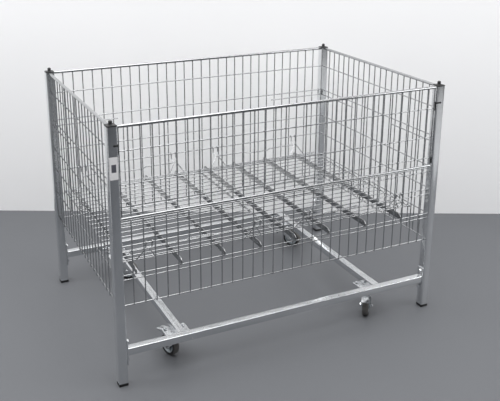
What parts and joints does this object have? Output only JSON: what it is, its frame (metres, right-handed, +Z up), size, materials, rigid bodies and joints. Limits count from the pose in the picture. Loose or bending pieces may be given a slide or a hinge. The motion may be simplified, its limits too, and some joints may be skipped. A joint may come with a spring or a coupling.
{
  "type": "wire mesh display bin",
  "caption": "Wire display bin on swivel casters with a fold-down front flap and lift-out wire floor halves.",
  "frame": {"origin": "on the ground under the middle of the bin", "axes": "+X along the long side, +Y from the flap side to the back, +Z up"},
  "size_m": [1.2, 0.805, 0.866],
  "materials": {
    "zinc_tube": "bright zinc plate, satin",
    "zinc_wire": "bright zinc plate on round wire",
    "zinc_bar": "zinc plate, duller",
    "caster_steel": "pressed steel, bright zinc",
    "fasteners": "zinc plated",
    "black_plastic": "moulded, fine grain",
    "tyre_rubber": "smooth black rubber",
    "hub_plastic": "grey moulded plastic"
  },
  "bodies": {
    "frame": {"back_rail": "zinc_tube", "caster_bolts": "fasteners", "caster_kingpins": "fasteners", "caster_mount_plates": "caster_steel", "caster_plate_back_left": "caster_steel", "caster_plate_back_right": "caster_steel", "caster_plate_front_left": "caster_steel", "caster_plate_front_right": "caster_steel", "cross_bar_left": "zinc_tube", "cross_bar_right": "zinc_tube", "flap_latch_clips": "black_plastic", "foot_cap_back_left": "black_plastic", "foot_cap_back_right": "black_plastic", "foot_cap_front_left": "black_plastic", "foot_cap_front_right": "black_plastic", "front_rail": "zinc_tube", "panel_back": "zinc_wire", "panel_front_lower": "zinc_wire", "panel_left": "zinc_wire", "panel_right": "zinc_wire", "post_back_left": "zinc_tube", "post_back_right": "zinc_tube", "post_front_left": "zinc_tube", "post_front_right": "zinc_tube", "rail_bolts": "fasteners", "rail_end_plates": "zinc_tube", "rail_nuts": "fasteners", "top_cap_back_left": "black_plastic", "top_cap_back_right": "black_plastic", "top_cap_front_left": "black_plastic", "top_cap_front_right": "black_plastic"},
    "flap": {"front_flap": "zinc_wire", "flap_hinge_pins": "zinc_wire"},
    "floor_left": {"floor_mesh_left": "zinc_wire", "floor_bars_left": "zinc_bar", "floor_hanger_left_front": "zinc_wire", "floor_hanger_left_back": "zinc_wire"},
    "floor_right": {"floor_mesh_right": "zinc_wire", "floor_bars_right": "zinc_bar", "floor_hanger_right_front": "zinc_wire", "floor_hanger_right_back": "zinc_wire"},
    "caster_front_left": {"caster_fork_front_left": "caster_steel", "caster_axle_front_left": "fasteners"},
    "wheel_front_left": {"wheel_hub_front_left": "hub_plastic", "wheel_tyre_front_left": "tyre_rubber"},
    "pedal_front_left": {"brake_pedal_front_left": "caster_steel"},
    "caster_front_right": {"caster_fork_front_right": "caster_steel", "caster_axle_front_right": "fasteners"},
    "wheel_front_right": {"wheel_hub_front_right": "hub_plastic", "wheel_tyre_front_right": "tyre_rubber"},
    "pedal_front_right": {"brake_pedal_front_right": "caster_steel"},
    "caster_back_left": {"caster_fork_back_left": "caster_steel", "caster_axle_back_left": "fasteners"},
    "wheel_back_left": {"wheel_hub_back_left": "hub_plastic", "wheel_tyre_back_left": "tyre_rubber"},
    "caster_back_right": {"caster_fork_back_right": "caster_steel", "caster_axle_back_right": "fasteners"},
    "wheel_back_right": {"wheel_hub_back_right": "hub_plastic", "wheel_tyre_back_right": "tyre_rubber"}
  },
  "joints": [
    {"name": "flap_hinge", "type": "hinge", "parent": "frame", "child": "flap", "pos_m": [0, -0.391, 0.562], "axis": [1, 0, 0], "range_deg": [0, 176]},
    {"name": "floor_left_lift", "type": "slide", "parent": "frame", "child": "floor_left", "axis": [0, 0, 1], "range_m": [0, 0.045]},
    {"name": "floor_right_lift", "type": "slide", "parent": "frame", "child": "floor_right", "axis": [0, 0, 1], "range_m": [0, 0.045]},
    {"name": "swivel_front_left", "type": "hinge", "parent": "frame", "child": "caster_front_left", "pos_m": [-0.377, -0.322, 0.09], "axis": [0, 0, 1], "continuous": true},
    {"name": "roll_front_left", "type": "hinge", "parent": "caster_front_left", "child": "wheel_front_left", "pos_m": [-0.38811, -0.28566, 0.0375], "axis": [-0.9563, -0.2924, 0], "continuous": true},
    {"name": "brake_front_left", "type": "hinge", "parent": "caster_front_left", "child": "pedal_front_left", "pos_m": [-0.3922, -0.27227, 0.08], "axis": [-0.9563, -0.2924, 0], "range_deg": [0, 14]},
    {"name": "swivel_front_right", "type": "hinge", "parent": "frame", "child": "caster_front_right", "pos_m": [0.377, -0.322, 0.09], "axis": [0, 0, 1], "continuous": true},
    {"name": "roll_front_right", "type": "hinge", "parent": "caster_front_right", "child": "wheel_front_right", "pos_m": [0.35361, -0.35194, 0.0375], "axis": [0.788, -0.6157, 0], "continuous": true},
    {"name": "brake_front_right", "type": "hinge", "parent": "caster_front_right", "child": "pedal_front_right", "pos_m": [0.34499, -0.36298, 0.08], "axis": [0.788, -0.6157, 0], "range_deg": [0, 14]},
    {"name": "swivel_back_left", "type": "hinge", "parent": "frame", "child": "caster_back_left", "pos_m": [-0.377, 0.322, 0.09], "axis": [0, 0, 1], "continuous": true},
    {"name": "roll_back_left", "type": "hinge", "parent": "caster_back_left", "child": "wheel_back_left", "pos_m": [-0.34587, 0.3002, 0.0375], "axis": [0.5736, 0.8192, 0], "continuous": true},
    {"name": "swivel_back_right", "type": "hinge", "parent": "frame", "child": "caster_back_right", "pos_m": [0.377, 0.322, 0.09], "axis": [0, 0, 1], "continuous": true},
    {"name": "roll_back_right", "type": "hinge", "parent": "caster_back_right", "child": "wheel_back_right", "pos_m": [0.3988, 0.29087, 0.0375], "axis": [0.8192, 0.5736, 0], "continuous": true}
  ]
}
